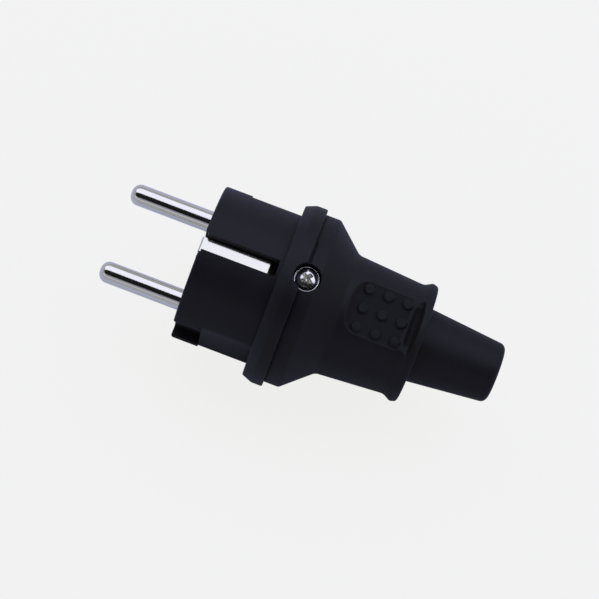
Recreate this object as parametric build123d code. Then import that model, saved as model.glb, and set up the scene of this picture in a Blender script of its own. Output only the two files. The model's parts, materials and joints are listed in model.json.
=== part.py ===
from build123d import *
from math import atan, degrees, sqrt
import os

# Earthed two-pin plug, rewireable, for a round recessed socket.
# X runs from the plug's face towards the cord, Y joins the two pins,
# Z goes through the earth strips and the housing screw. Millimetres.

# Plug pins
pin_diameter = 4.8
pin_reach = 19.3
pin_spacing = 19.0
pin_tip_round = 2.0
pin_relief_diameter = 4.2
pin_relief_depth = 0.1
pin_root_diameter = 5.8
pin_root_depth = 1.0
barrel_diameter = 7.4
barrel_depth = 9.5
neck_diameter = 6.4
neck_length = 6.2
wire_hole_diameter = 2.8
wire_hole_inset = 2.4

# Screws, each with a thread size and a head
terminal_thread = 3.0
terminal_head_diameter = 5.0
terminal_head_height = 1.8
terminal_head_gap = 0.4
earth_thread = 3.5
earth_head_diameter = 6.0
earth_head_height = 2.2
earth_screw_grip = 4.0
clamp_thread = 2.9
clamp_head_diameter = 4.4
clamp_head_height = 2.0
housing_thread = 3.0
housing_flange_diameter = 5.5
housing_flange_thickness = 0.6
housing_flange_groove_width = 0.35
housing_flange_groove_depth = 0.35
housing_head_diameter = 4.2
housing_head_height = 2.1
housing_head_round = 0.5
slot_width_in_head = 0.8
slot_depth_in_head = 1.0
cross_arm_width = 1.1
cross_span = 3.2
cross_depth = 1.5
cross_taper = 12.0
cross_turn = 55.0

# Front of the contact carrier
face_radius = 17.8
body_radius = 17.85
body_length = 17.85
face_edge_round = 0.6
deck_depth = 17.6
flat_distance = 15.85
flat_edge_round = 3.0
notch_length = 6.3
notch_width = 13.0
notch_depth = 2.0
notch_edge_chamfer = 0.8
notch_far_chamfer = 0.6
core_diameter = 6.4
core_floor = 4.0
core_y = 6.0
core_z = 8.8

# Collar on the carrier and the spigot behind it
collar_step = 1.95
collar_chamfer_height = 0.95
collar_chamfer_length = 2.4
collar_length = 4.95
collar_front_round = 0.3
collar_crest_round = 1.6
collar_rear_round = 0.35
spigot_wall = 2.9
spigot_length = 3.8
spigot_edge_round = 0.4
chamber_margin = 0.3

# Earth strip, bent from one band
earth_slot_width = 3.8
strip_width = 3.3
strip_thickness = 0.6
strip_sink = 3.2
strip_run = 15.5
earth_slot_length = 17.1
strip_bend_radius = 0.7
strip_leg_gap = 0.6
hook_length = 4.0
hook_width = 5.2
hook_proud = 0.3
slot_mouth_chamfer = 0.8
bridge_pad_width = 7.6
bridge_pad_length = 9.0
washer_side = 6.8
washer_thickness = 1.0

# Retainer plate over the pins
retainer_thickness = 2.4
retainer_gap = 0.3

# Cord clamp at the rear of the carrier
shelf_thickness = 2.5
shelf_start = 3.4
shelf_edge_gap = 0.8
clamp_bar_length = 4.6
clamp_bar_thickness = 1.8
clamp_foot_height = 2.4
clamp_foot_margin = 2.2
clamp_bite = 0.2
post_diameter = 4.4
clamp_screw_gap = 0.1
clamp_setback = 1.5
clamp_screw_grip = 5.6

# Captive nut and the housing screw's seat
nut_side = 5.5
nut_thickness = 1.8
housing_screw_setback = 0.9
counterbore_diameter = 6.2
seat_wall = 0.85
screw_past_nut = 0.5

# Hood
hood_ring_wall = 3.55
hood_ring_length = 3.45
hood_ring_round = 0.8
hood_front_round = 0.2
cone_length = 6.5
cone_foot_round = 2.0
chamber_bore_radius = 9.0
handle_wall = 4.9
handle_taper = 1.1
handle_length = 15.6
flare_length = 1.8
flare_round = 2.0
lip_rise = 1.0
lip_length = 1.4
lip_drop = 0.4
lip_crest_round = 0.8
lip_rear_round = 0.7
cable_bore_radius = 4.5
sleeve_root_wall = 4.0
sleeve_root_round = 0.5
sleeve_end_wall = 2.2
sleeve_end_round = 1.5
sleeve_length = 18.5
bore_edge_round = 0.4
bore_lead = 0.8
chamber_lead = 3.5
chamber_tail = 3.2
pry_slit_width = 0.65
pry_slit_depth = 0.8
pry_slit_angle = 29.5

# Grip pads on two sides of the handle
pad_wall = 2.7
pad_length = 12.0
pad_width = 12.0
pad_corner = 2.2
pad_start = 2.6
pad_wall_slope = 45.0
dot_pitch = 4.45
dots_each_way = 3
dot_diameter = 2.6
dot_height = 0.55
dot_edge = 0.3
dots_shift = 0.3
groove_gap = 1.2
groove_length = 1.1
groove_width = 11.2
groove_sink = 1.4

# Fits
slip_gap = 0.15
thread_gap = 0.05
hole_gap = 0.2

# Places that follow from the sizes above
pin_radius = pin_diameter / 2
pin_y = pin_spacing / 2
neck_radius = neck_diameter / 2
neck_end = deck_depth + neck_length
wire_hole_x = neck_end - wire_hole_inset
terminal_seat = neck_end + terminal_head_gap
terminal_rear = terminal_seat + terminal_head_height
chamber_radius = pin_y + neck_radius + chamber_margin
spigot_radius = chamber_radius + spigot_wall
spigot_bore = spigot_radius + slip_gap
collar_front_radius = body_radius + collar_step
collar_radius = collar_front_radius + collar_chamfer_height
seam_x = body_length + collar_length
spigot_end = seam_x + spigot_length
hood_ring_radius = spigot_bore + hood_ring_wall
hood_ring_end = seam_x + hood_ring_length
cone_end = hood_ring_end + cone_length
handle_front_radius = chamber_bore_radius + handle_wall
handle_rear_radius = handle_front_radius - handle_taper
handle_end = cone_end + handle_length
lip_radius = handle_rear_radius + lip_rise
lip_crest = handle_end + flare_length
lip_end = lip_crest + lip_length
sleeve_end = lip_end + sleeve_length
shoulder_radius = face_radius + (body_radius - face_radius) * notch_length / body_length
notch_mouth = sqrt(face_radius**2 - (notch_width / 2)**2)
strip_face = face_radius - strip_sink
slot_floor = strip_face - strip_thickness
leg_face = chamber_radius - strip_leg_gap
leg_inside = leg_face - strip_thickness
retainer_rear = deck_depth + retainer_thickness
bridge_rear = retainer_rear + strip_thickness
washer_rear = bridge_rear + washer_thickness
shelf_top = -cable_bore_radius - hole_gap / 2
shelf_bottom = shelf_top - shelf_thickness
shelf_front = retainer_rear + shelf_start
clamp_start = terminal_rear + clamp_setback
clamp_x = clamp_start + clamp_bar_length / 2
clamp_end = clamp_start + clamp_bar_length
arch_radius = cable_bore_radius - clamp_bite
arch_top = arch_radius + clamp_bar_thickness
post_y = arch_top + clamp_screw_gap + clamp_head_diameter / 2
bore_cone_start = spigot_end + slip_gap
bore_cone_end = clamp_end + chamber_lead
bore_cone_slope = (chamber_bore_radius - spigot_bore) / (bore_cone_end - bore_cone_start)
shelf_radius = spigot_bore + bore_cone_slope * (clamp_end - bore_cone_start) - shelf_edge_gap
housing_screw_x = seam_x + housing_screw_setback
screw_seat = spigot_bore + seat_wall
nut_top = chamber_radius + nut_thickness
pad_floor = chamber_bore_radius + pad_wall
pad_centre = cone_end + pad_start + pad_length / 2
pad_end = pad_centre + pad_length / 2
pad_fall = handle_taper / handle_length
pad_rear_floor = pad_floor - pad_fall * pad_length / 2
groove_start = pad_end + groove_gap
beyond = 2 * collar_radius


def span_box(x_span, y_span, z_span):
    """A block given by its two ends along each axis."""
    spans = (x_span, y_span, z_span)
    centre = [(low + high) / 2 for low, high in spans]
    return Pos(*centre) * Box(*[high - low for low, high in spans])


def rod_x(diameter, start, end, y=0.0, z=0.0):
    """A round rod along X."""
    return Pos((start + end) / 2, y, z) * Rot(0, 90, 0) * Cylinder(diameter / 2, end - start)


def rod_y(diameter, start, end, x=0.0, z=0.0):
    """A round rod along Y."""
    return Pos(x, (start + end) / 2, z) * Rot(90, 0, 0) * Cylinder(diameter / 2, end - start)


def rod_z(diameter, bottom, top, x=0.0, y=0.0):
    """A round rod along Z."""
    return Pos(x, y, (bottom + top) / 2) * Cylinder(diameter / 2, top - bottom)


def turned(corners):
    """A turned solid about X. Each corner is its X, its radius and how much it is rounded."""
    points = [(x, radius) for x, radius, _ in corners]
    rounds = [corner for _, _, corner in corners]
    outline = make_face(FilletPolyline(*points, radius=rounds, close=True))
    return revolve(Plane.XZ * outline, Axis.X)


def both_ends(solid):
    """The solid and its copy half a turn round the plug's axis."""
    return [solid, Rot(180, 0, 0) * solid]


def make_pin():
    """Turned pin: tip, plain shank, relief groove, root, barrel and the neck that clamps a wire."""
    solid = turned([
        (-pin_reach, 0, 0),
        (-pin_reach, pin_radius, pin_tip_round),
        (pin_relief_depth, pin_radius, 0),
        (pin_relief_depth, pin_relief_diameter / 2, 0),
        (pin_root_depth, pin_relief_diameter / 2, 0),
        (pin_root_depth, pin_root_diameter / 2, 0),
        (barrel_depth, pin_root_diameter / 2, 0),
        (barrel_depth, barrel_diameter / 2, 0),
        (deck_depth, barrel_diameter / 2, 0),
        (deck_depth, neck_radius, 0),
        (neck_end, neck_radius, 0),
        (neck_end, 0, 0),
    ])
    hole_floor = wire_hole_x - wire_hole_diameter / 2
    thread_hole = rod_x(terminal_thread + 2 * thread_gap, hole_floor, neck_end)
    wire_hole = rod_y(wire_hole_diameter, -neck_radius, terminal_thread / 2, x=wire_hole_x)
    return Pos(0, pin_y, 0) * (solid - thread_hole - wire_hole)


def make_slotted_screw(thread, grip, head_diameter, head_height):
    """Cheese-head screw along X: the head starts at 0, the thread runs back to -grip."""
    head = rod_x(head_diameter, 0, head_height)
    slot = span_box(
        (head_height - slot_depth_in_head, head_height),
        (-head_diameter, head_diameter),
        (-slot_width_in_head / 2, slot_width_in_head / 2),
    )
    return head + rod_x(thread, -grip, 0) - slot


def make_terminal_screws():
    """The two screws that press the wires in the pins' necks."""
    grip = terminal_seat - wire_hole_x
    screw = make_slotted_screw(terminal_thread, grip, terminal_head_diameter, terminal_head_height)
    return both_ends(Pos(terminal_seat, pin_y, 0) * screw)


def pin_room():
    """The stepped hole that one pin sits in."""
    rooms = (
        (pin_diameter, 0, pin_root_depth),
        (pin_root_diameter, pin_root_depth, barrel_depth),
        (barrel_diameter, barrel_depth, deck_depth),
    )
    return [rod_x(diameter + 2 * thread_gap, start, end, y=pin_y) for diameter, start, end in rooms]


def earth_channel():
    """Slot in the body's side for one earth strip, the hook's seat and the way in to the deck."""
    half = earth_slot_width / 2
    low = min(leg_inside, slot_floor) - slip_gap
    slot = span_box((0, earth_slot_length), (-half, half), (slot_floor, beyond))
    hook_seat = span_box(
        (0, strip_thickness - hook_proud + slip_gap),
        (-hook_width / 2 - slip_gap, hook_width / 2 + slip_gap),
        (strip_face - hook_length - slip_gap, beyond),
    )
    bend_room = span_box((strip_run - strip_bend_radius, earth_slot_length), (-half, half), (low, beyond))
    leg_way = span_box((earth_slot_length, bridge_rear), (-half, half), (low, leg_face + slip_gap))
    mouth = Polygon(
        (0, half),
        (slot_mouth_chamfer, half),
        (0, half + slot_mouth_chamfer),
        align=None,
    )
    mouth_chamfer = extrude(Pos(0, 0, slot_floor) * mouth, amount=beyond)
    return [slot, hook_seat, bend_room, leg_way, mouth_chamfer]


def guide_notches():
    """Notch at the front of each guide flat. Its edge on the housing screw's side is broken more."""
    half = notch_width / 2
    floor = flat_distance - notch_depth
    near_rim = notch_mouth - notch_edge_chamfer
    far_rim = notch_mouth - notch_far_chamfer
    section = Plane.YZ * Polygon(
        (floor, -half),
        (far_rim, -half),
        (far_rim + beyond, -half - beyond),
        (near_rim + beyond, half + beyond),
        (near_rim, half),
        (floor, half),
        align=None,
    )
    notch = extrude(section, amount=notch_length)
    return [notch, mirror(notch, about=Plane.XZ)]


def is_flat_edge(edge):
    """Is this one of the long edges between a guide flat and the round body?"""
    runs_along = edge.bounding_box().size.X > (body_length - notch_length) / 2
    return runs_along and abs(edge.center().Y) > flat_distance / 2


def make_front_body():
    """Round nose, and behind it the body with two guide flats whose long edges are rounded."""
    nose = turned([
        (0, 0, 0),
        (0, face_radius, face_edge_round),
        (notch_length, shoulder_radius, 0),
        (notch_length, 0, 0),
    ])
    flanks = turned([
        (notch_length, 0, 0),
        (notch_length, shoulder_radius, 0),
        (body_length, body_radius, 0),
        (body_length, 0, 0),
    ])
    flat_cut = span_box((notch_length, body_length), (flat_distance, beyond), (-beyond, beyond))
    flanks -= both_ends(flat_cut)
    return nose + fillet(flanks.edges().filter_by(is_flat_edge), flat_edge_round)


def make_cord_shelf():
    """Shelf across the spigot that carries the cord clamp's two posts."""
    plate = span_box((shelf_front, clamp_end), (-beyond, beyond), (shelf_bottom, shelf_top))
    posts = [rod_z(post_diameter, shelf_bottom, 0, x=clamp_x, y=y) for y in (-post_y, post_y)]
    in_ring = plate & rod_x(2 * chamber_radius + spigot_wall, shelf_front, spigot_end)
    shelf_round = rod_x(2 * shelf_radius, shelf_front, clamp_end)
    hole = clamp_thread + 2 * thread_gap
    holes = [rod_z(hole, shelf_bottom, 0, x=clamp_x, y=y) for y in (-post_y, post_y)]
    return (in_ring + ((plate + posts) & shelf_round)) - holes


def housing_screw_room(seat):
    """Clearance hole and counterbore for the housing screw, down through the ring's wall."""
    hole = rod_z(housing_thread + 2 * hole_gap, 0, beyond, x=housing_screw_x)
    counterbore = rod_z(counterbore_diameter, seat, beyond, x=housing_screw_x)
    return [hole, counterbore]


def make_contact_carrier():
    """Front moulding: plug face, guide flats, earth slots, collar, spigot and cord shelf."""
    collar = turned([
        (body_length, 0, 0),
        (body_length, collar_front_radius, collar_front_round),
        (body_length + collar_chamfer_length, collar_radius, collar_crest_round),
        (seam_x, collar_radius, collar_rear_round),
        (seam_x, spigot_radius, 0),
        (spigot_end, spigot_radius, spigot_edge_round),
        (spigot_end, 0, 0),
    ])
    solid = make_front_body() + collar - rod_x(2 * chamber_radius, deck_depth, spigot_end)
    solid -= guide_notches()
    for cut in [*pin_room(), *earth_channel()]:
        solid -= both_ends(cut)
    cores = [
        rod_x(core_diameter, core_floor, deck_depth, y=y, z=z)
        for y in (-core_y, core_y)
        for z in (-core_z, core_z)
    ]
    earth_hole = rod_x(earth_thread + 2 * thread_gap, deck_depth - earth_screw_grip, deck_depth)
    nut_pocket = span_box(
        (housing_screw_x - nut_side / 2 - slip_gap, housing_screw_x + nut_side / 2 + slip_gap),
        (-nut_side / 2 - slip_gap, nut_side / 2 + slip_gap),
        (0, nut_top),
    )
    nut_pocket -= rod_x(2 * leg_face, 0, spigot_end)
    solid -= [*cores, earth_hole, nut_pocket, *housing_screw_room(screw_seat)]
    return solid + make_cord_shelf()


def make_retainer():
    """Insulating plate that holds both pins in the carrier, under the earth bridge."""
    plate = rod_x(2 * (chamber_radius - retainer_gap), deck_depth, retainer_rear)
    half = earth_slot_width / 2
    leg_notch = span_box((deck_depth, retainer_rear), (-half, half), (leg_inside - slip_gap, beyond))
    neck_hole = rod_x(neck_diameter + 2 * slip_gap, deck_depth, retainer_rear, y=pin_y)
    screw_hole = rod_x(earth_thread + 2 * hole_gap, deck_depth, retainer_rear)
    return plate - both_ends(leg_notch) - both_ends(neck_hole) - screw_hole


def make_earth_bracket():
    """One bent band: a hook on the face, a strip in each slot, and the bridge behind the pins."""
    half_outline = [
        (-hook_proud, strip_face - hook_length),
        (-hook_proud, strip_face),
        (strip_run, strip_face),
        (earth_slot_length, leg_face),
        (bridge_rear, leg_face),
    ]
    outline = half_outline + [(x, -z) for x, z in reversed(half_outline)]
    outer_face = FilletPolyline(*outline, radius=strip_bend_radius)
    band = make_face(offset(outer_face, amount=strip_thickness, side=Side.RIGHT))
    solid = extrude(Plane.XZ * band, amount=strip_width / 2, both=True)
    hook = span_box(
        (-hook_proud, strip_thickness - hook_proud),
        (-hook_width / 2, hook_width / 2),
        (strip_face - hook_length, strip_face - strip_bend_radius),
    )
    pad = span_box(
        (retainer_rear, bridge_rear),
        (-bridge_pad_width / 2, bridge_pad_width / 2),
        (-bridge_pad_length / 2, bridge_pad_length / 2),
    )
    screw_hole = rod_x(earth_thread + 2 * thread_gap, retainer_rear, bridge_rear)
    return (solid + both_ends(hook) + pad) - screw_hole


def make_earth_clamp_washer():
    """Square washer that clamps the earth wire on the bridge."""
    half = washer_side / 2
    plate = span_box((bridge_rear, washer_rear), (-half, half), (-half, half))
    return plate - rod_x(earth_thread + 2 * hole_gap, bridge_rear, washer_rear)


def make_earth_terminal_screw():
    """Screw through washer, bridge and retainer into the carrier."""
    grip = earth_screw_grip + retainer_thickness + strip_thickness + washer_thickness
    return Pos(washer_rear, 0, 0) * make_slotted_screw(
        earth_thread, grip, earth_head_diameter, earth_head_height
    )


def make_cord_clamp():
    """Arched bar that presses the cord on the shelf."""
    half_span = post_y + clamp_foot_margin
    feet = span_box((clamp_start, clamp_end), (-half_span, half_span), (0, clamp_foot_height))
    arch = rod_x(2 * arch_top, clamp_start, clamp_end)
    arch &= span_box((clamp_start, clamp_end), (-beyond, beyond), (0, beyond))
    cord_way = rod_x(2 * arch_radius, clamp_start, clamp_end)
    hole = clamp_thread + 2 * hole_gap
    holes = [rod_z(hole, 0, clamp_foot_height, x=clamp_x, y=y) for y in (-post_y, post_y)]
    return feet + arch - cord_way - holes


def make_cord_clamp_screws():
    """The two screws that pull the bar down on its posts."""
    screw = make_slotted_screw(clamp_thread, clamp_screw_grip, clamp_head_diameter, clamp_head_height)
    upright = Rot(0, -90, 0) * screw
    return [Pos(clamp_x, y, clamp_foot_height) * upright for y in (-post_y, post_y)]


def make_housing_screw():
    """Flanged pan-head screw with a cross recess, driven along Z through the collar's seam."""
    tip = nut_top - nut_thickness - screw_past_nut
    flange_top = screw_seat + housing_flange_thickness
    head_top = screw_seat + housing_head_height
    groove_floor = flange_top - housing_flange_groove_depth
    groove_diameter = housing_head_diameter + 2 * housing_flange_groove_width
    flange = rod_z(housing_flange_diameter, screw_seat, flange_top, x=housing_screw_x)
    flange -= rod_z(groove_diameter, groove_floor, flange_top, x=housing_screw_x)
    head = rod_z(housing_head_diameter, screw_seat, head_top, x=housing_screw_x)
    head = fillet(head.edges().group_by(Axis.Z)[-1], housing_head_round)
    arm = Rectangle(cross_span, cross_arm_width)
    cross = Pos(housing_screw_x, 0, head_top) * Rot(0, 0, cross_turn) * (arm + Rot(0, 0, 90) * arm)
    recess = extrude(cross, amount=-cross_depth, taper=cross_taper)
    return flange + head + rod_z(housing_thread, tip, screw_seat, x=housing_screw_x) - recess


def make_housing_nut():
    """Square nut, captive in the spigot's wall."""
    half = nut_side / 2
    block = span_box(
        (housing_screw_x - half, housing_screw_x + half),
        (-half, half),
        (nut_top - nut_thickness, nut_top),
    )
    hole = housing_thread + 2 * thread_gap
    return block - rod_z(hole, nut_top - nut_thickness, nut_top, x=housing_screw_x)


def make_grip_pad(hood):
    """Recessed pad with raised dots on the +Z side, and the groove between it and the lip."""
    pad_plane = Pos(pad_centre, 0, pad_floor) * Rot(0, degrees(atan(pad_fall)), 0)
    pocket_outline = pad_plane * RectangleRounded(pad_length, pad_width, pad_corner)
    hood -= extrude(pocket_outline, amount=handle_front_radius - pad_rear_floor, taper=-pad_wall_slope)
    hood -= span_box(
        (groove_start, groove_start + groove_length),
        (-groove_width / 2, groove_width / 2),
        (pad_floor - groove_sink, beyond),
    )
    stud = Cylinder(dot_diameter / 2, 2 * dot_height)
    dot = chamfer(stud.edges().group_by(Axis.Z)[-1], dot_edge)
    dots = GridLocations(dot_pitch, dot_pitch, dots_each_way, dots_each_way)
    return hood + [pad_plane * Pos(dots_shift, 0, 0) * place * dot for place in dots]


def make_hood():
    """Rear moulding: ring, cone, handle with grip pads, lip and bend-relief sleeve in one piece."""
    solid = turned([
        (seam_x, spigot_bore, 0),
        (seam_x, hood_ring_radius, hood_front_round),
        (hood_ring_end, hood_ring_radius, hood_ring_round),
        (cone_end, handle_front_radius, cone_foot_round),
        (handle_end, handle_rear_radius, flare_round),
        (lip_crest, lip_radius, lip_crest_round),
        (lip_end, lip_radius - lip_drop, lip_rear_round),
        (lip_end, cable_bore_radius + sleeve_root_wall, sleeve_root_round),
        (sleeve_end, cable_bore_radius + sleeve_end_wall, sleeve_end_round),
        (sleeve_end, cable_bore_radius, bore_edge_round),
        (lip_end + bore_lead, cable_bore_radius, 0),
        (lip_end - chamber_tail, chamber_bore_radius, 0),
        (bore_cone_end, chamber_bore_radius, 0),
        (bore_cone_start, spigot_bore, 0),
    ])
    for turn in (0, 180):
        solid = Rot(turn, 0, 0) * make_grip_pad(Rot(-turn, 0, 0) * solid)
    slit_face = Pos(seam_x, hood_ring_radius) * Rectangle(
        2 * pry_slit_width, 2 * pry_slit_depth
    )
    slit = revolve(Plane.XZ * slit_face, Axis.X, -pry_slit_angle)
    return solid - [slit, *housing_screw_room(screw_seat)]


pieces = {
    "contact_carrier": make_contact_carrier(),
    "hood": make_hood(),
    "line_pin": make_pin(),
    "neutral_pin": Rot(180, 0, 0) * make_pin(),
    "terminal_screws": make_terminal_screws(),
    "pin_retainer": make_retainer(),
    "earth_bracket": make_earth_bracket(),
    "earth_clamp_washer": make_earth_clamp_washer(),
    "earth_terminal_screw": make_earth_terminal_screw(),
    "cord_clamp": make_cord_clamp(),
    "cord_clamp_screws": make_cord_clamp_screws(),
    "housing_screw": make_housing_screw(),
    "housing_nut": make_housing_nut(),
}

os.makedirs("parts", exist_ok=True)
for name, piece in pieces.items():
    solids = piece if isinstance(piece, list) else [piece]
    export_step(Compound(children=solids) if len(solids) > 1 else solids[0], f"parts/{name}.step")
    print(name, [round(solid.volume, 1) for solid in solids])
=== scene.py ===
# %% [markdown]
# # A rewireable earthed plug
# The plug's solids come ready made, at their real size: the front moulding with its pins and earth strips,
# the rubber hood with its bend-relief sleeve, and the screws and clamps inside. This lesson dresses them.
# The solids could be given a colour as they are, but their edges are sharp and their round walls have flat
# steps. So they are kept as the frame, and a finer mesh takes a solid's place wherever light has to roll
# over a soft edge.

# %% Load the fixed frame
import json
from math import cos, hypot, pi, radians, sin, tan

import bmesh
import bpy
from mathutils import Matrix, Vector

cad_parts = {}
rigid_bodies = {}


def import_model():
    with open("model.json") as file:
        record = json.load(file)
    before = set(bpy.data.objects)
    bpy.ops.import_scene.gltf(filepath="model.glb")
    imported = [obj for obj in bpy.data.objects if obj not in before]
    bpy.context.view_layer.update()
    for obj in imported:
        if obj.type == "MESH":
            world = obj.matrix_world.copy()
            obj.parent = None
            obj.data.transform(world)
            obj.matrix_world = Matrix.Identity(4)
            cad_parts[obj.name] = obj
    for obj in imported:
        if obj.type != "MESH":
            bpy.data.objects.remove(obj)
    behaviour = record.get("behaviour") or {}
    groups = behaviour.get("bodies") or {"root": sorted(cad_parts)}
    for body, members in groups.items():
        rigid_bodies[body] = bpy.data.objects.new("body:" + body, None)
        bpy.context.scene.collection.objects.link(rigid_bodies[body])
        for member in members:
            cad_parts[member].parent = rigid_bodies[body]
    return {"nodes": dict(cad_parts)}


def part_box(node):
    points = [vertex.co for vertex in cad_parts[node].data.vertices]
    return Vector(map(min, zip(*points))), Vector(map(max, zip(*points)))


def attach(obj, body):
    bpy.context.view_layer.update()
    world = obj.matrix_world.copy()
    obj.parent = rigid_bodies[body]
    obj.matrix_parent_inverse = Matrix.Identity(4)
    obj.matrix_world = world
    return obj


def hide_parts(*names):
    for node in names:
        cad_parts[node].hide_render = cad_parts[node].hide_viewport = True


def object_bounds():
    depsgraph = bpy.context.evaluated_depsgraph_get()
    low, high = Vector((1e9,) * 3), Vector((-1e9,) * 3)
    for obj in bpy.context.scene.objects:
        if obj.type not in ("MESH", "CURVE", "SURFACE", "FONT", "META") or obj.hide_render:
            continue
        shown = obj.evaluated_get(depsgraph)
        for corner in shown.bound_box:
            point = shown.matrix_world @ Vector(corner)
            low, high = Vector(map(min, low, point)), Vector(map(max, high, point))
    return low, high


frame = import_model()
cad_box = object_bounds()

mm = 0.001
scene = bpy.context.scene
scene.view_settings.view_transform = "Standard"


def in_mm(box):
    """A box in millimetres, to be printed."""
    return [[round(x / mm, 2) for x in corner] for corner in box]


print("frame:", len(frame["nodes"]), "nodes, box", in_mm(cad_box))

# %% [markdown]
# ## The camera
# The plug is seen from almost straight above, a little from the side of the lower pin, and the picture is
# turned so that the cord end points down to the right. A camera could be aimed with three angles, but
# angles say little about a turned picture. Three axes say it plainly: the way back to the lens, the
# picture's right and the picture's up. The lens is long, so the plug's near and far ends look alike in
# scale.

# %% Camera at the photograph's angle
lens_distance = 491 * mm
plug_roll = radians(15.2)
picture_turn = radians(20.74)
picture_side = 599
focal_pixels = 2229
sensor_width = 36.0
aim_along = 23.81 * mm
aim_across = 0.08 * mm

along = Vector((1, 0, 0))
across = Vector((0, cos(plug_roll), sin(plug_roll)))
aim = along * aim_along + across * aim_across
lens_back = along.cross(across)
picture_right = along * cos(picture_turn) + across * sin(picture_turn)
picture_up = across * cos(picture_turn) - along * sin(picture_turn)

camera_data = bpy.data.cameras.new("camera")
camera_data.sensor_fit = "HORIZONTAL"
camera_data.sensor_width = sensor_width
camera_data.lens = sensor_width * focal_pixels / picture_side
camera = bpy.data.objects.new("camera", camera_data)
scene.collection.objects.link(camera)
turned_to_view = Matrix((picture_right, picture_up, lens_back)).transposed().to_4x4()
camera.matrix_world = Matrix.Translation(aim + lens_back * lens_distance) @ turned_to_view
scene.camera = camera
print("camera:", round(camera_data.lens), "mm lens,", round(lens_distance / mm), "mm from the axis")

# %% [markdown]
# ## Shader sums in plain Python
# A finish is a tree of nodes, and a tree reads badly as a long list of links. Sums could still be linked
# node by node, but a small class that wraps one output socket is easier to read: a sum such as `1 - mask`
# adds its own Math nodes.


# %% Sockets that can be added and multiplied
class Wire:
    """One output socket of a finish. Sums on it add Math nodes."""

    def __init__(self, finish, socket):
        self.finish = finish
        self.socket = socket

    def maths(self, operation, first, second):
        return self.finish.add("ShaderNodeMath", {"operation": operation}, {0: first, 1: second})

    def __add__(self, other):
        return self.maths("ADD", self, other)

    def __radd__(self, other):
        return self.maths("ADD", other, self)

    def __sub__(self, other):
        return self.maths("SUBTRACT", self, other)

    def __rsub__(self, other):
        return self.maths("SUBTRACT", other, self)

    def __mul__(self, other):
        return self.maths("MULTIPLY", self, other)

    def __rmul__(self, other):
        return self.maths("MULTIPLY", other, self)


print("wires can be added, subtracted and multiplied")

# %% [markdown]
# A second class holds the tree of one finish. One method makes any node from its type, its settings and the
# values or links of its sockets. Noise, ramps, mixed colours and attributes come up so often that they get
# short names.


# %% Trees of nodes
class Finish:
    """The node tree of one material or of the world."""

    def __init__(self, owner):
        owner.use_nodes = True
        self.owner = owner
        self.tree = owner.node_tree
        self.tree.nodes.clear()

    def add(self, kind, settings=None, sockets=None, output=0):
        """Makes a node: its settings first, then the values or links of its sockets."""
        node = self.tree.nodes.new(kind)
        for name, value in (settings or {}).items():
            if name == "stops":
                for element, (position, shade) in zip(node.color_ramp.elements, value):
                    element.position = position
                    element.color = (shade, shade, shade, 1)
            else:
                setattr(node, name, value)
        for name, value in (sockets or {}).items():
            if isinstance(value, Wire):
                self.tree.links.new(value.socket, node.inputs[name])
            else:
                node.inputs[name].default_value = value
        return Wire(self, node.outputs[output]) if node.outputs else None

    def noise(self, vector, scale, detail):
        return self.add("ShaderNodeTexNoise", {}, {"Vector": vector, "Scale": scale, "Detail": detail})

    def ramp(self, value, low, high):
        """Zero below one value, one above the other."""
        stops = {"stops": ((low, 0.0), (high, 1.0))}
        return self.add("ShaderNodeValToRGB", stops, {0: value})

    def mix_colours(self, share, first, second):
        """Goes from the first colour to the second."""
        sockets = {0: share, 6: first, 7: second}
        return self.add("ShaderNodeMix", {"data_type": "RGBA"}, sockets, output=2)

    def attribute(self, name):
        """A share that the piece itself holds. It is zero on a piece without it."""
        return self.add("ShaderNodeAttribute", {"attribute_name": name}, output="Fac")


def tone(red, green, blue):
    """A colour for a shader socket."""
    return (red, green, blue, 1.0)


print("finishes can be built")

# %% [markdown]
# ## The floor
# The plug lies on a plain pale floor, a sheet of studio paper. A box would do, but only its top is ever
# seen, so one flat face is enough. It lies at the lowest point of the solids and reaches far past the
# picture.

# %% Floor: the sheet
floor_reach = 3.0

floor_shape = bmesh.new()
bmesh.ops.create_grid(floor_shape, x_segments=1, y_segments=1, size=floor_reach)
bmesh.ops.translate(floor_shape, verts=floor_shape.verts, vec=(0, 0, cad_box[0][2]))
floor_mesh = bpy.data.meshes.new("floor")
floor_shape.to_mesh(floor_mesh)
floor_shape.free()
floor = bpy.data.objects.new("floor", floor_mesh)
scene.collection.objects.link(floor)
print("floor at", round(cad_box[0][2] / mm, 2), "mm")

# %% [markdown]
# Paper could be lit until it is white, but it would never come out even, and that much light would wash out
# the plug. So most of what the camera sees of the floor is its own pale colour, and the rest is lit and
# holds the soft shadow. The pins mirror the paper beside them, so there the floor shows mirrors a good
# share of that colour, in a cooler tone. Under the body this share is small, a painted shadow in what
# mirrors see of the floor, because black plastic that mirrors a bright floor turns grey.

# %% Floor: the paper
floor_paper = tone(0.64, 0.64, 0.64)
floor_glow = tone(0.985, 0.985, 0.965)
mirror_glow = tone(0.84, 0.9, 1.5)
floor_own_share = 0.85
shadowed_mirror_share = 0.03
pins_mirror_share = 0.34
pins_floor_end = -3 * mm
body_floor_start = 1 * mm


def pale_share(finish, seen, mirrored):
    """How much of its own pale colour a backdrop shows to the camera, and to mirrors and glass."""
    to_camera = finish.add("ShaderNodeLightPath", output="Is Camera Ray")
    to_mirror = finish.add("ShaderNodeLightPath", output="Is Glossy Ray")
    to_glass = finish.add("ShaderNodeLightPath", output="Is Transmission Ray")
    return to_camera * seen + (to_mirror + to_glass) * mirrored


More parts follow.
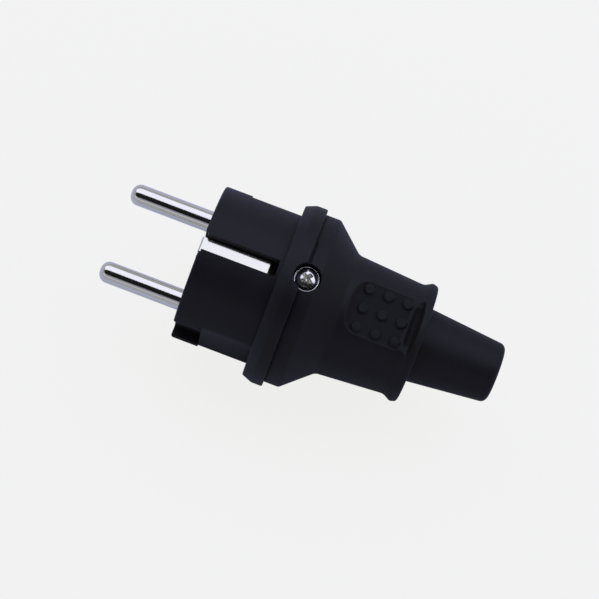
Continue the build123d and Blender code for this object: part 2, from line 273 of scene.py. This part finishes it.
paper = Finish(bpy.data.materials.new("pale_floor"))
floor_place = paper.add("ShaderNodeTexCoord", output="Object")
from_face = paper.add("ShaderNodeSeparateXYZ", {}, {0: floor_place}, output="X")
# Painted shadow: under the body, mirrors see much less of the floor's glow than beside the pins.
painted_shadow_under_body = paper.add(
    "ShaderNodeMapRange", {"interpolation_type": "SMOOTHSTEP"},
    {"Value": from_face, "From Min": pins_floor_end, "From Max": body_floor_start},
)
mirror_share = pins_mirror_share * (1 - painted_shadow_under_body) + shadowed_mirror_share * painted_shadow_under_body
own_share = pale_share(paper, floor_own_share, mirror_share)
looked_at = paper.add("ShaderNodeLightPath", output="Is Camera Ray")
glow = paper.mix_colours(looked_at, mirror_glow, floor_glow)
lit = paper.add("ShaderNodeBsdfDiffuse", {}, {"Color": floor_paper})
own = paper.add("ShaderNodeEmission", {}, {"Color": glow, "Strength": 1.0})
blend = paper.add("ShaderNodeMixShader", {}, {0: own_share, 1: lit, 2: own})
paper.add("ShaderNodeOutputMaterial", {}, {"Surface": blend})
floor_mesh.materials.append(paper.owner)
print("floor finish:", paper.owner.name)

# %% [markdown]
# ## The sky
# A studio has pale walls low down and a dark ceiling. A picture of a real room would give that too, but it
# would leave its windows in every pin. One soft ramp over the height of the view does the same and stays
# plain. To the camera, the sky past the floor's edge is pale as well.

# %% Sky
pale = tone(0.888, 0.888, 0.888)
sky_low = tone(0.45, 0.45, 0.56)
sky_high = tone(0.001, 0.001, 0.004)
sky_mirror_share = 0.01
walls_end = radians(22)
ceiling_start = radians(36)

sky = Finish(bpy.data.worlds.new("studio"))
scene.world = sky.owner
direction = sky.add("ShaderNodeTexCoord", output="Generated")
upwards = sky.add("ShaderNodeSeparateXYZ", {}, {0: direction}, output="Z")
overhead = sky.ramp(upwards, sin(walls_end), sin(ceiling_start))
room = sky.mix_colours(overhead, sky_low, sky_high)
sky_colour = sky.mix_colours(pale_share(sky, 1.0, sky_mirror_share), room, pale)
background = sky.add("ShaderNodeBackground", {}, {"Color": sky_colour, "Strength": 1.0})
sky.add("ShaderNodeOutputWorld", {}, {"Surface": background})
print("sky:", scene.world.name)

# %% [markdown]
# ## Two soft panels
# A bright long panel on the line pin's side and a dim one opposite leave a dark gap where the camera
# stands. This gap draws the dark line along each pin, and keeps the black plastic that faces the camera
# black. Lamps could be placed by eye, but a panel that is set by two angles round the plug's axis is easier
# to move, because that is how a mirror on a round body finds it.

# %% Panels beside the camera
panel_reach = 0.8
panel_length = 2.4
cool_white = (1.0, 1.0, 1.46)


def hang_panel(name, near_angle, far_angle, brightness):
    """A soft panel along the plug, between two angles round its axis from the line pin's side."""
    near = Vector((0, cos(near_angle), sin(near_angle))) * panel_reach
    far = Vector((0, cos(far_angle), sin(far_angle))) * panel_reach
    width = (far - near).length
    lamp = bpy.data.lights.new(name, "AREA")
    lamp.shape = "RECTANGLE"
    lamp.size = panel_length
    lamp.size_y = width
    lamp.energy = brightness * pi * panel_length * width
    lamp.color = cool_white
    panel = bpy.data.objects.new(name, lamp)
    middle = (near + far) / 2
    side = along
    up = (far - near).normalized()
    back = side.cross(up)
    if back.dot(middle) < 0:
        side = -side
        back = -back
    panel.matrix_world = Matrix.Translation(middle) @ Matrix((side, up, back)).transposed().to_4x4()
    scene.collection.objects.link(panel)
    print(name, round(width, 2), "m wide,", round(lamp.energy, 1), "W")


hang_panel("bright_panel", near_angle=radians(30), far_angle=radians(84), brightness=1.21)
hang_panel("dim_panel", near_angle=radians(133), far_angle=radians(158), brightness=0.355)

# %% [markdown]
# ## Plastics
# The front moulding is black nylon, the hood softer black rubber, and the plates inside are a grey
# insulator. The moulds of such parts leave a fine grain, and no moulding is quite even. Two noises give
# both: a fine one for the grain, also as a bump, and a slow one for clouds of colour and gloss. A painted
# image could do it too, but it needs unwrapped pieces. Noise on the piece's own coordinates needs none, and
# it has no seams. Two shares come from the piece itself: where its mould was left more matt, and where
# the walls of the earth slots, which lie in shade, are painted a lighter grey: painted light.

# %% How a plastic is made
# Painted light: a lighter grey for the earth slots' walls, which lie in shade.
slot_painted_light = tone(0.055, 0.055, 0.052)
noise_middle = 0.5
fine_detail = 3.0
plastic_cloud_size = 9 * mm
clouds_dark_below = 0.3
clouds_light_above = 0.7
clouds_in_gloss = 0.10
grain_in_gloss = 0.12
matt_step = 0.2
grain_depth = 0.010 * mm


def surface(finish, colour, rough, bump, bump_depth, **constants):
    """Ends a finish with one shader. What varies comes as a wire, and a constant is set on its socket."""
    bump_sockets = {"Strength": 1.0, "Distance": bump_depth, "Height": bump}
    normal = finish.add("ShaderNodeBump", {}, bump_sockets)
    sockets = {"Base Color": colour, "Roughness": rough, "Normal": normal, **constants}
    shader = finish.add("ShaderNodeBsdfPrincipled", {}, sockets)
    finish.add("ShaderNodeOutputMaterial", {}, {"Surface": shader})
    return finish.owner


def make_plastic(name, dark, light, rough, grain_size, gloss):
    """Moulded plastic with grain and clouds, the piece's own matt parts, and painted light in the earth
    slots.
    """
    finish = Finish(bpy.data.materials.new(name))
    place = finish.add("ShaderNodeTexCoord", output="Object")
    grain = finish.noise(place, 1 / grain_size, fine_detail)
    clouds = finish.noise(place, 1 / plastic_cloud_size, fine_detail)
    light_share = finish.ramp(clouds, clouds_dark_below, clouds_light_above)
    moulded = finish.mix_colours(light_share, dark, light)
    # Painted light: the earth slots' shaded walls turn a lighter grey.
    colour = finish.mix_colours(finish.attribute("scuff_share"), moulded, slot_painted_light)
    uneven = clouds_in_gloss * (clouds - noise_middle) + grain_in_gloss * (grain - noise_middle)
    roughness = rough + uneven + matt_step * finish.attribute("matt_share")
    return surface(finish, colour, roughness, grain, grain_depth, **{"Specular IOR Level": gloss})


print("grain is", round(grain_depth / mm, 3), "mm deep")

# %% [markdown]
# The two blacks are nearly the same tone. What tells them apart is gloss and grain: rubber is a little
# duller and its grain a little coarser. One black for both would be simpler, but the hood would then look
# as hard as the moulding.

# %% Three plastics
nylon = make_plastic(
    "black_nylon", dark=tone(0.007, 0.007, 0.007), light=tone(0.0086, 0.0086, 0.0086),
    rough=0.49, grain_size=0.28 * mm, gloss=0.2,
)
rubber = make_plastic(
    "black_rubber", dark=tone(0.0068, 0.0068, 0.0068), light=tone(0.0086, 0.0086, 0.0086),
    rough=0.55, grain_size=0.34 * mm, gloss=0.2,
)
insulator = make_plastic(
    "grey_insulator", dark=tone(0.26, 0.26, 0.27), light=tone(0.32, 0.32, 0.33),
    rough=0.55, grain_size=0.4 * mm, gloss=0.5,
)
print("plastics:", nylon.name, rubber.name, insulator.name)

# %% [markdown]
# ## Metals
# The pins are bright nickel over brass, the earth band is satin nickel and the screws are zinc-plated
# steel. Drawing, rolling and turning leave fine streaks along the piece. Scratches could be painted, but a
# noise that is stretched along X gives streaks everywhere, in gloss and as a very shallow bump. A deeper
# bump would break up the long clear reflection that makes a pin look like a pin.

# %% Metals
soft_detail = 2.0
metal_cloud_size = 4 * mm
metal_clouds_in_gloss = 0.06
streak_depth = 0.0006 * mm


def make_metal(name, tint, rough, streak_length, streak_width, streak_share):
    """Plated metal with fine streaks along X, in gloss and in relief."""
    finish = Finish(bpy.data.materials.new(name))
    place = finish.add("ShaderNodeTexCoord", output="Object")
    stretch = (streak_width / streak_length, 1, 1)
    stretched = finish.add("ShaderNodeMapping", {}, {"Vector": place, "Scale": stretch})
    streaks = finish.noise(stretched, 1 / streak_width, fine_detail)
    clouds = finish.noise(place, 1 / metal_cloud_size, soft_detail)
    streaky = streak_share * (streaks - noise_middle)
    roughness = rough + streaky + metal_clouds_in_gloss * (clouds - noise_middle)
    return surface(finish, tint, roughness, streaks, streak_depth, Metallic=1.0)


nickel = make_metal(
    "bright_nickel", tint=tone(0.69, 0.685, 0.54), rough=0.13,
    streak_length=6 * mm, streak_width=0.12 * mm, streak_share=0.08,
)
satin_nickel = make_metal(
    "satin_nickel", tint=tone(0.69, 0.69, 0.51), rough=0.11,
    streak_length=3 * mm, streak_width=0.1 * mm, streak_share=0.08,
)
zinc = make_metal(
    "zinc_plate", tint=tone(0.72, 0.72, 0.63), rough=0.2,
    streak_length=0.6 * mm, streak_width=0.3 * mm, streak_share=0.15,
)
print("metals:", nickel.name, satin_nickel.name, zinc.name)

# %% [markdown]
# ## Turned pieces
# A plug is mostly turned: an outline with rounded corners, spun about an axis. The spun piece could be
# bevelled afterwards, but a bevel on thousands of edges is slow and can fold over itself. Here the corners
# are rounded first, as vertex bevels on the bare outline, so every edge of the spun piece is already soft.

# %% Outlines and spins
merge_reach = 0.003 * mm


def draw_outline(corners):
    """A closed outline beside the X axis. A corner is X, radius and perhaps a rounding with its steps."""
    shape = bmesh.new()
    places = [Vector((x, 0, radius)) * mm for x, radius, *_ in corners]
    verts = [shape.verts.new(place) for place in places]
    for vert, following in zip(verts, verts[1:] + verts[:1]):
        shape.edges.new((vert, following))
    for index, (vert, (_, _, *soft)) in enumerate(zip(verts, corners)):
        if soft:
            rounding, steps = soft
            before = places[index] - places[index - 1]
            after = places[(index + 1) % len(places)] - places[index]
            reach = rounding * mm * tan(before.angle(after) / 2)
            bmesh.ops.bevel(
                shape, geom=[vert], offset=reach, offset_type="OFFSET", affect="VERTICES",
                segments=steps, profile=0.5, material=-1,
            )
    return shape


def spin_outline(shape, *sectors):
    """Spins an outline about X through sectors, each with its own angle and its own number of steps."""
    full = len(sectors) == 1
    ring = [*shape.verts, *shape.edges]
    for angle, steps in sectors:
        spun = bmesh.ops.spin(
            shape, geom=ring, axis=along, cent=(0, 0, 0), angle=angle, steps=steps, use_merge=full,
        )
        ring = spun["geom_last"]
    bmesh.ops.remove_doubles(shape, verts=shape.verts, dist=merge_reach)
    bmesh.ops.recalc_face_normals(shape, faces=shape.faces)


print("outlines can be drawn and spun")

# %% [markdown]
# A finished shape becomes an object, may have a cutter taken out of it, and is then mounted: it rides the
# plug's only body and stands for one solid of the frame. A cut could stay live, but then the cutter would
# have to stay too, so it is applied at once.


# %% Objects, cuts and mounts
def as_object(name, shape, material=None):
    """Turns a finished shape into an object with smooth shading."""
    mesh = bpy.data.meshes.new(name)
    shape.to_mesh(mesh)
    shape.free()
    if material:
        mesh.materials.append(material)
    piece = bpy.data.objects.new(name, mesh)
    scene.collection.objects.link(piece)
    mesh.shade_smooth()
    return piece


def cut(piece, cutter):
    """Takes a cutter out of a piece for good, and removes the cutter."""
    knife = piece.modifiers.new("cut", "BOOLEAN")
    knife.operation = "DIFFERENCE"
    knife.solver = "EXACT"
    knife.object = cutter
    shown = piece.evaluated_get(bpy.context.evaluated_depsgraph_get())
    whole = piece.data
    piece.data = bpy.data.meshes.new_from_object(shown)
    piece.data.name = piece.name
    piece.modifiers.remove(knife)
    bpy.data.objects.remove(cutter)
    bpy.data.meshes.remove(whole)


def mount_piece(piece, node, sharp_angle):
    """Lets a piece stand for a solid of the frame."""
    piece.data.set_sharp_from_angle(angle=sharp_angle)
    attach(piece, "root")
    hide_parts(node)
    print(piece.name, "has", len(piece.data.polygons), "faces and stands for", node)


print("pieces can be made, cut and mounted")

# %% [markdown]
# ## The rubber hood
# On the real plug the ring, the cone, the handle, the flared lip and the bend-relief sleeve are one rubber
# moulding. It could be put together from cylinders and cones, but every join would show. One spun outline
# has none. It is spun in four sectors: the steps are fine on the two sides that carry a grip pad, and the
# rows along the handle are close together, so that the pads can be pressed into the mesh later.

# %% Hood: the turned body
seam_x = 22.8
ring_radius = 19.6
spigot_room = 16.05
handle_end = 48.35
wiring_room = 9.0
lip_end = 51.55
sleeve_end = 70.045
sleeve_bore = 4.5
hood_corners = (
    (seam_x, spigot_room),
    (seam_x, ring_radius, 0.08, 2),
    (26.25, ring_radius, 0.9, 8),
    (32.75, 13.9, 2.0, 10),
    (handle_end, 12.8, 2.0, 10),
    (50.15, 13.8, 0.8, 8),
    (lip_end, 13.4, 0.7, 8),
    (lip_end, 8.5, 0.5, 6),
    (sleeve_end, 6.7, 1.5, 12),
    (sleeve_end, sleeve_bore, 0.4, 5),
    (lip_end + 0.8, sleeve_bore),
    (handle_end, wiring_room),
    (35.6, wiring_room),
    (26.75, spigot_room),
)
grip_start = 31.9
grip_end = 50.75
grip_inside = 11.0
grip_row = 0.15
pad_half_sector = radians(34)
pad_sector = (2 * pad_half_sector, 110)
plain_sector = (pi - 2 * pad_half_sector, 46)

hood_shape = draw_outline(hood_corners)
for edge in list(hood_shape.edges):
    ends = [vert.co / mm for vert in edge.verts]
    if all(grip_start < end.x < grip_end and end.z > grip_inside for end in ends):
        rows = int((ends[1] - ends[0]).length / grip_row)
        bmesh.ops.subdivide_edges(hood_shape, edges=[edge], cuts=rows)
start_turn = Matrix.Rotation(-pad_half_sector, 3, along)
bmesh.ops.rotate(hood_shape, verts=hood_shape.verts, cent=(0, 0, 0), matrix=start_turn)
spin_outline(hood_shape, pad_sector, plain_sector, pad_sector, plain_sector)
print("hood body:", len(hood_shape.verts), "points")

# %% [markdown]
# ## The grip pads
# Each side of the handle has a sunk pad for finger and thumb, with nine round dots on its floor. The dots
# could be small cylinders that are joined on, but a join leaves a hard foot, and these dots grow softly out
# of the floor. So a pad is written as a height over the plug's axis, worked out at every point. The dots
# come first: their rise follows from the distance to the nearest one.

# %% Grip pads: dots
dot_pitch = 4.45
dot_height = 0.55
dot_top = 0.95
dot_foot = 1.4


def ease(share):
    """A soft step from zero to one."""
    share = max(0, min(1, share))
    return share**2 * (3 - 2 * share)


def dot_rise(x, y):
    """How far the nearest of the nine dots stands over the floor."""
    column = max(-1, min(1, round(x / dot_pitch)))
    row = max(-1, min(1, round(y / dot_pitch)))
    away = hypot(x - column * dot_pitch, y - row * dot_pitch)
    return dot_height * ease((dot_foot - away) / (dot_foot - dot_top))


print("dots are", dot_pitch, "mm apart and", dot_height, "mm high")

# %% [markdown]
# The floor ends in walls that lean outwards on three sides, and in a low rounded rim at the rear. A cutter
# with sloping sides could make them, but again with hard corners. Here both come from one measure: how far
# a point lies outside a rectangle with rounded corners. A soft foot joins the walls to the floor.

# %% Grip pads: walls and rear rim
pad_length = 12.0
pad_width = 12.0
front_corner = 2.2
rear_corner = 0.8
pad_wall_slope = radians(45)
wall_foot_softness = 0.3
rear_rim_height = 0.22
rear_rim_width = 0.65
rear_rim_inset = 0.6


def lower_of(first, second, softness):
    """The lower of two heights, with a soft corner where they meet."""
    near = max(softness - abs(first - second), 0)
    return min(first, second) - near**2 / (4 * softness)


def pad_rise(x, y):
    """How far the pad's walls and its rear rim stand over the floor."""
    corner = rear_corner if x > 0 else front_corner
    past_x = abs(x) - pad_length / 2 + corner
    past_y = abs(y) - pad_width / 2 + corner
    corner_part = hypot(max(past_x, 0), max(past_y, 0))
    outside = corner_part + min(max(past_x, past_y), 0) - corner
    wall = -lower_of(-outside, 0, wall_foot_softness) / tan(pad_wall_slope)
    rim = rear_rim_height * ease((outside + rear_rim_inset) / rear_rim_width)
    rear_share = (max(past_x, 0) / corner_part) ** 2 if x > 0 and corner_part else 0
    return wall + (rim - wall) * rear_share


print("a pad is", pad_length, "by", pad_width, "mm")

# %% [markdown]
# Behind the rim a shallow channel crosses the handle and ends at the lip. It could be turned with the hood,
# but then it would run all the way round. As one more height it stops at both sides: a flat floor, a gentle
# wall in front, a steep one at the lip, and ends that rise.

# %% Grip pads: channel
channel_front = 48.5
channel_back = 49.45
channel_floor = 11.0
channel_wall_slope = 0.75
lip_slope = 4.0
channel_half_width = 3.4
channel_end_rise = 0.24


def channel_height(x, y):
    """Height of the channel between the rear rim and the lip. Its floor rises towards both ends."""
    wall = channel_wall_slope * max(channel_front - x, 0)
    lip = lip_slope * max(x - channel_back, 0)
    end = channel_end_rise * max(abs(y) - channel_half_width, 0) ** 2
    return channel_floor + wall + lip + end


print("the channel's floor lies", channel_floor, "mm from the axis")

# %% [markdown]
# Now every point of the handle is lowered to the pad's height or the channel's, where that lies under the
# handle. A modifier could push the points, but a short loop can also keep a second number with each of
# them. The floor and the channel are more matt than the rest of the mould, and the dots half as much, so
# each point keeps its matt share as an attribute, which the rubber's finish reads.

# %% Grip pads: pressed into the hood
pad_x = 41.35
pad_floor = 11.7
pad_fall = 1.1 / 15.6
dots_shift = 0.3
rim_softness = 0.3
channel_softness = 0.3
channel_matt_depth = 0.3
dot_gloss = 0.5

moved = 0
hood_matt = hood_shape.verts.layers.float.new("matt_share")
for vert in hood_shape.verts:
    x, y, z = vert.co / mm
    if grip_start < x < grip_end and hypot(y, z) > grip_inside and abs(z) > abs(y):
        rise = pad_rise(x - pad_x, y) + lip_slope * max(x - channel_back, 0)
        dot = dot_rise(x - pad_x - dots_shift, y)
        pad = pad_floor - pad_fall * (x - pad_x) + rise + dot
        channel = channel_height(x, y)
        grip = lower_of(abs(z), pad, rim_softness)
        height = lower_of(grip, channel, channel_softness)
        floor_share = ease(1 - rise / rear_rim_height) * (1 - dot_gloss * dot / dot_height)
        vert[hood_matt] = max(floor_share, ease((grip - channel) / channel_matt_depth))
        moved += height < abs(z)
        vert.co.z = height * mm if z > 0 else -height * mm
bmesh.ops.recalc_face_normals(hood_shape, faces=hood_shape.faces)
hood = as_object("hood_shell", hood_shape, rubber)
print("grip pads moved", moved, "points")

# %% [markdown]
# ## The pry slit
# Beside the housing screw a narrow slit on the seam takes a screwdriver's blade, to open the plug. A
# straight box could cut it, but its floor would not follow the round ring. The cutter is a small face that
# is swept round the plug, with its last end raised, so that the slit runs out in a ramp.

# %% Hood: pry slit
slit_width = 0.65
slit_floor = 18.7
slit_rim = 19.75
slit_sweep = radians(29.5)
slit_steps = 7
clear_of_plug = 24.0


def pry_slit():
    """Cutter for the slit, swept from the screw towards the line pin."""
    shape = bmesh.new()
    profile = (
        (-slit_width, slit_floor),
        (slit_width, slit_floor),
        (slit_width, clear_of_plug),
        (-slit_width, clear_of_plug),
    )
    face = shape.faces.new([shape.verts.new(Vector((seam_x + x, 0, z)) * mm) for x, z in profile])
    spun = bmesh.ops.spin(
        shape, geom=[face, *face.edges, *face.verts], axis=along, cent=(0, 0, 0), angle=-slit_sweep,
        steps=slit_steps, use_duplicate=False,
    )
    for vert in spun["geom_last"]:
        if isinstance(vert, bmesh.types.BMVert) and hypot(vert.co.y, vert.co.z) < slit_rim * mm:
            vert.co.yz *= slit_rim / slit_floor
    bmesh.ops.recalc_face_normals(shape, faces=shape.faces)
    return as_object("pry_slit", shape)


cut(hood, pry_slit())
print("hood with its slit:", len(hood.data.polygons), "faces")

# %% [markdown]
# ## The screw's recess
# The housing screw sits in a round stepped recess on the seam. Two cylinders could cut it one after the
# other. One outline that is turned about the screw's own upright axis cuts shank and head at once, and the
# same helper turns the screw later on.

# %% Hood: screw recess
screw_x = 23.7
screw_seat = 16.9
recess_radius = 3.1
shank_room = 1.7
upright_steps = 72
recess_corners = (
    (0.0, 0.0),
    (0.0, shank_room),
    (screw_seat, shank_room),
    (screw_seat, recess_radius),
    (clear_of_plug, recess_radius),
    (clear_of_plug, 0.0),
)


def turn_upright(name, corners, material=None):
    """Turns an outline about the housing screw's own axis. A corner's X becomes its height."""
    shape = draw_outline(corners)
    spin_outline(shape, (2 * pi, upright_steps))
    upright = Matrix.Rotation(-pi / 2, 3, "Y")
    bmesh.ops.rotate(shape, verts=shape.verts, cent=(0, 0, 0), matrix=upright)
    bmesh.ops.translate(shape, verts=shape.verts, vec=(screw_x * mm, 0, 0))
    return as_object(name, shape, material)


cut(hood, turn_upright("screw_recess", recess_corners))
mount_piece(hood, "hood", sharp_angle=radians(42))

# %% [markdown]
# ## Matt flats and painted light in the slots
# The guide flats on the front moulding's two sides are more matt than the rest, and most so towards their
# lower edge. The walls of the earth slots lie in shade, and are painted a lighter grey: painted light. Both
# could be masks in the finish, made from coordinates, but a mask doesn't know which way a face looks. So
# the faces are picked here, by place, direction and area, and keep their shares as attributes.

# %% Marks on the front moulding
flat_side = 15
flat_facing = 0.999
flat_area = 40 * mm**2
flat_half_height = 6.6
flat_matt = 0.8
flat_matt_fall = 0.5
slot_end = 17.2
slot_half_width = 2.0
slot_bottom = 11.0


def mark_faces(shape):
    """Keeps where a moulding is matt and where its earth slots are painted a lighter grey, as painted
    light. Metal finishes don't read it.
    """
    matt_share = shape.verts.layers.float.new("matt_share")
    scuff_share = shape.faces.layers.float.new("scuff_share")
    for face in shape.faces:
        x, y, z = face.calc_center_median() / mm
        # Painted light: faces in the earth slots get the lighter grey.
        face[scuff_share] = 0 < x < slot_end and abs(y) < slot_half_width and abs(z) > slot_bottom
        if abs(face.normal.y) > flat_facing and abs(y) > flat_side and face.calc_area() > flat_area:
            for vert in face.verts:
                vert[matt_share] = flat_matt - flat_matt_fall * vert.co.z / mm / flat_half_height


print("flats over", round(flat_area / mm**2), "square mm are marked as matt")

# %% [markdown]
# ## Softer edges on the front moulding and the earth band
# The front moulding is full of flats, slots and steps, and the earth band is bent from one strip. Both
# could be modelled again, but their solids already have the right shape. So the meshes are copied, joined
# along the edges and given a fine bevel, which is what makes a moulded or pressed edge shine. The bevel is
# a modifier, because it then takes only the edges that are sharp enough.

# %% Softened copies
cad_merge_reach = 0.002 * mm
flat_enough = radians(0.1)
bevel_steps = 2


def soften(node, material, width, soft_angle):
    """Copies a solid, joins its faces, drops needless edges and bevels the sharp ones."""
    shape = bmesh.new()
    shape.from_mesh(frame["nodes"][node].data)
    bmesh.ops.remove_doubles(shape, verts=shape.verts, dist=cad_merge_reach)
    bmesh.ops.dissolve_limit(
        shape, angle_limit=flat_enough, use_dissolve_boundaries=False, verts=shape.verts, edges=shape.edges,
    )
    bmesh.ops.recalc_face_normals(shape, faces=shape.faces)
    mark_faces(shape)
    piece = as_object(node + "_finish", shape, material)
    edge_softness = piece.modifiers.new("edge_softness", "BEVEL")
    edge_softness.limit_method = "ANGLE"
    edge_softness.angle_limit = soft_angle
    edge_softness.width = width
    edge_softness.segments = bevel_steps
    edge_softness.harden_normals = True
    mount_piece(piece, node, soft_angle)


soften("contact_carrier", nylon, width=0.14 * mm, soft_angle=radians(17))
soften("earth_bracket", satin_nickel, width=0.07 * mm, soft_angle=radians(32))

# %% [markdown]
# ## The housing screw
# The screw that holds hood and front moulding together is turned like the recess it sits in: a shank, a
# thin rim that lines the recess, a groove, and a domed head. A flat head would be simpler, but it would be
# bright or dark as a whole. A dome takes the bright panel on its upper side only, as a real pan head does.

# %% Housing screw: turned
screw_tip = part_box("housing_screw")[0][2] / mm
screw_shank = 1.5
rim_top = 17.8
rim_radius = 2.75
groove_floor = 17.2
head_radius = 2.1
screw_corners = (
    (screw_tip, 0.0),
    (screw_tip, screw_shank, 0.3, 3),
    (screw_seat, screw_shank),
    (screw_seat, rim_radius, 0.08, 2),
    (rim_top, rim_radius, 0.08, 3),
    (rim_top, 2.58, 0.06, 3),
    (groove_floor, 2.52),
    (groove_floor, 1.75),
    (17.45, head_radius, 0.1, 3),
    (18.2, head_radius, 0.25, 6),
    (18.55, 1.4, 1.5, 5),
    (18.8, 0.0),
)

screw = turn_upright("housing_screw_turned", screw_corners, zinc)
print("screw blank:", len(screw.data.polygons), "faces")

# %% [markdown]
# A cross recess takes the screwdriver. Straight slots would look punched. A real cross narrows towards its
# foot, so it is cut with two tapered blades, each a four-sided cone that is stretched flat.

# %% Housing screw: cross recess
cross_turn = radians(55)
cross_size = (3.4, 1.2)
cross_depth = 1.65
cross_narrowing = 0.1
cross_top = 18.9
screw_sharp_angle = radians(40)


def cross_blade(turn):
    """One tapered blade of the cross recess."""
    shape = bmesh.new()
    half_diagonal = hypot(0.5, 0.5) * mm
    foot = half_diagonal * cross_narrowing
    bmesh.ops.create_cone(
        shape, cap_ends=True, segments=4, radius1=foot, radius2=half_diagonal, depth=cross_depth * mm,
    )
    square = Matrix.Rotation(pi / 4, 3, "Z")
    bmesh.ops.rotate(shape, verts=shape.verts, cent=(0, 0, 0), matrix=square)
    bmesh.ops.scale(shape, verts=shape.verts, vec=(*cross_size, 1))
    bmesh.ops.rotate(shape, verts=shape.verts, cent=(0, 0, 0), matrix=Matrix.Rotation(turn, 3, "Z"))
    place = Vector((screw_x, 0, cross_top - cross_depth / 2)) * mm
    bmesh.ops.translate(shape, verts=shape.verts, vec=place)
    return as_object("cross_blade", shape)


cut(screw, cross_blade(cross_turn))
cut(screw, cross_blade(cross_turn + pi / 2))
mount_piece(screw, "housing_screw", screw_sharp_angle)

# %% [markdown]
# The groove between rim and head lies in shade. A black nylon ring is laid in it as painted shade, so that
# it stays dark under the bright panel. A dark colour on the screw's own groove could stand for it, but the
# ring is a piece of its own, so it is turned and gets the nylon's finish. It has no solid.

# %% Housing screw: painted shade in the groove
shade_ring_foot = 17.21
shade_ring_top = 17.4
shade_ring_bore = 1.8
shade_ring_radius = 2.48
shade_ring_corners = (
    (shade_ring_foot, shade_ring_bore),
    (shade_ring_foot, shade_ring_radius),
    (shade_ring_top, shade_ring_radius, 0.06, 2),
    (shade_ring_top, shade_ring_bore, 0.06, 2),
)

# Painted shade: a black ring that keeps the screw's groove dark.
shade_ring = turn_upright("screw_shade_ring", shade_ring_corners, nylon)
shade_ring.data.set_sharp_from_angle(angle=screw_sharp_angle)
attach(shade_ring, "root")
print(shade_ring.name, "has", len(shade_ring.data.polygons), "faces")

# %% [markdown]
# ## The pins
# The wire goes into a pin's neck by a hole across it, and the terminal screw presses on the wire from the
# rear. A cylinder from the Add menu would cut that hole too, but the outline helper is at hand, and a
# turned cutter has its size in plain numbers.

# %% Pins: the wire's hole
pin_y = 9.5
wire_hole_x = 21.4
wire_hole_start = 1.5
wire_hole_length = 4.7
wire_hole_radius = 1.4
wire_hole_steps = 32
wire_hole_corners = (
    (0.0, 0.0),
    (0.0, wire_hole_radius),
    (wire_hole_length, wire_hole_radius),
    (wire_hole_length, 0.0),
)


def wire_hole(side):
    """Cutter for the wire's hole, from the neck's bore through its wall towards the plug's middle."""
    shape = draw_outline(wire_hole_corners)
    spin_outline(shape, (2 * pi, wire_hole_steps))
    sideways = Matrix.Rotation(-side * pi / 2, 3, "Z")
    bmesh.ops.rotate(shape, verts=shape.verts, cent=(0, 0, 0), matrix=sideways)
    place = Vector((wire_hole_x, side * (pin_y + wire_hole_start), 0)) * mm
    bmesh.ops.translate(shape, verts=shape.verts, vec=place)
    return as_object("wire_hole", shape)


print("the wire's hole is", 2 * wire_hole_radius, "mm wide")

# %% [markdown]
# A pin is a turned brass rod: a rounded tip, a long plain shank, a shallow groove at the plug's face, a
# root and a barrel that seat in the moulding, and a hollow neck. Cylinders could be stacked, but the tip's
# long rounding runs into the shank without an edge, and one outline gives that for nothing. The steps are
# many, because a mirror shows every flat.

# %% Pins: turned and drilled
pin_tip = -19.3
pin_radius = 2.4
pin_end = 23.8
bore_end = 20.0
bore_radius = 1.55
pin_steps = 96
pin_corners = (
    (pin_tip, 0.0),
    (pin_tip, pin_radius, 2.0, 14),
    (0.1, pin_radius),
    (0.1, 2.1),
    (1.0, 2.1),
    (1.0, 2.9, 0.15, 3),
    (9.5, 2.9),
    (9.5, 3.7, 0.15, 3),
    (17.6, 3.7),
    (17.6, 3.2),
    (pin_end, 3.2, 0.2, 3),
    (pin_end, bore_radius, 0.1, 2),
    (bore_end, bore_radius),
    (bore_end, 0.0),
)

for node, side in (("line_pin", 1), ("neutral_pin", -1)):
    pin_shape = draw_outline(pin_corners)
    spin_outline(pin_shape, (2 * pi, pin_steps))
    bmesh.ops.translate(pin_shape, verts=pin_shape.verts, vec=(0, side * pin_y * mm, 0))
    pin = as_object(node + "_turned", pin_shape, nickel)
    cut(pin, wire_hole(side))
    mount_piece(pin, node, sharp_angle=radians(35))

# %% [markdown]
# ## The pieces inside
# The clamps, the terminal screws and the nut are hidden once the plug is closed. They could be softened
# too, but nobody would see it, so they stay as the frame has them and only get their finish.

# %% Dress the solids that stay
inside_finishes = {
    "pin_retainer": insulator,
    "cord_clamp": insulator,
    "terminal_screws": zinc,
    "earth_clamp_washer": zinc,
    "earth_terminal_screw": zinc,
    "cord_clamp_screws": zinc,
    "housing_nut": zinc,
}
for node, material in inside_finishes.items():
    mesh = frame["nodes"][node].data
    mesh.materials.clear()
    mesh.materials.append(material)
print("dressed", len(inside_finishes), "solids")
